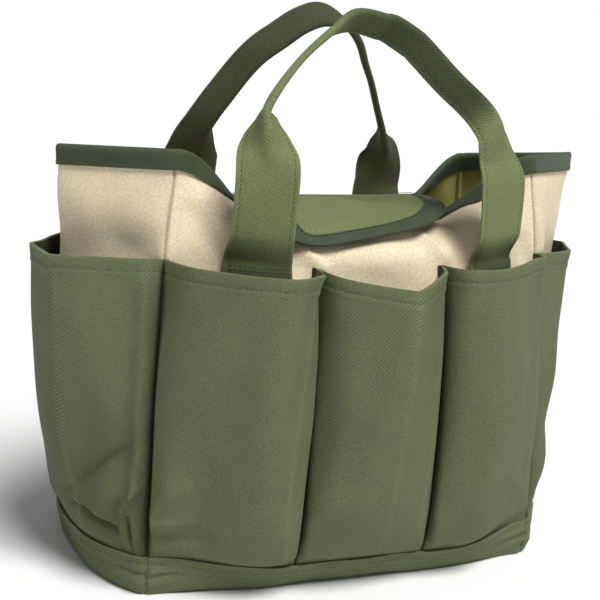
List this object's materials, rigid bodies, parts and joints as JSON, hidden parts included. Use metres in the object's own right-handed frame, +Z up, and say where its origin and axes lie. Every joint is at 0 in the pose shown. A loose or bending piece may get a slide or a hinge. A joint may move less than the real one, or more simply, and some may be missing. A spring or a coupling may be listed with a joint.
{
  "type": "garden tool bag",
  "caption": "Soft twill tote for garden tools: open-topped bag with a ring of bellows pockets, a base band, a centre closing flap and two folded-grip carrying handles.",
  "frame": {"origin": "middle of the base panel's underside, on the surface the bag stands on", "axes": "+X along the bag to the right, +Y from front to back, +Z up"},
  "size_m": [0.4069, 0.2377, 0.3854],
  "materials": {
    "green_twill": "olive green polyester twill, fine diagonal weave",
    "beige_twill": "beige polyester twill, yellowish coating inside",
    "binding_tape": "dark green grosgrain tape",
    "hook_and_loop": "dark hook and loop tape",
    "board": "plain stiff sheet"
  },
  "bodies": {
    "bag": {"base_panel": "green_twill", "base_board": "board", "front_panel": "beige_twill", "front_base_band": "green_twill", "front_rim_binding": "binding_tape", "back_panel": "beige_twill", "back_base_band": "green_twill", "back_rim_binding": "binding_tape", "left_end_panel": "beige_twill", "left_end_base_band": "green_twill", "left_end_rim_binding": "binding_tape", "right_end_panel": "beige_twill", "right_end_base_band": "green_twill", "right_end_rim_binding": "binding_tape", "front_left_pocket": "green_twill", "front_middle_pocket": "green_twill", "front_right_pocket": "green_twill", "back_left_pocket": "green_twill", "back_middle_pocket": "green_twill", "back_right_pocket": "green_twill", "left_end_pocket": "green_twill", "right_end_pocket": "green_twill", "front_left_strap_end": "green_twill", "front_right_strap_end": "green_twill", "back_left_strap_end": "green_twill", "back_right_strap_end": "green_twill", "front_loop_patch": "hook_and_loop"},
    "front_handle": {"front_handle": "green_twill"},
    "back_handle": {"back_handle": "green_twill"},
    "flap": {"flap": "green_twill", "flap_hook_patch": "hook_and_loop"}
  },
  "joints": [
    {"name": "front_handle_swing", "type": "hinge", "parent": "bag", "child": "front_handle", "pos_m": [0, -0.096, 0.224], "axis": [1, 0, 0], "range_deg": [-6, 85]},
    {"name": "back_handle_swing", "type": "hinge", "parent": "bag", "child": "back_handle", "pos_m": [0, 0.08, 0.224], "axis": [-1, 0, 0], "range_deg": [-6, 85]},
    {"name": "flap_lift", "type": "hinge", "parent": "bag", "child": "flap", "pos_m": [0, 0.028, 0.242], "axis": [-1, 0, 0], "range_deg": [0, 65]}
  ]
}
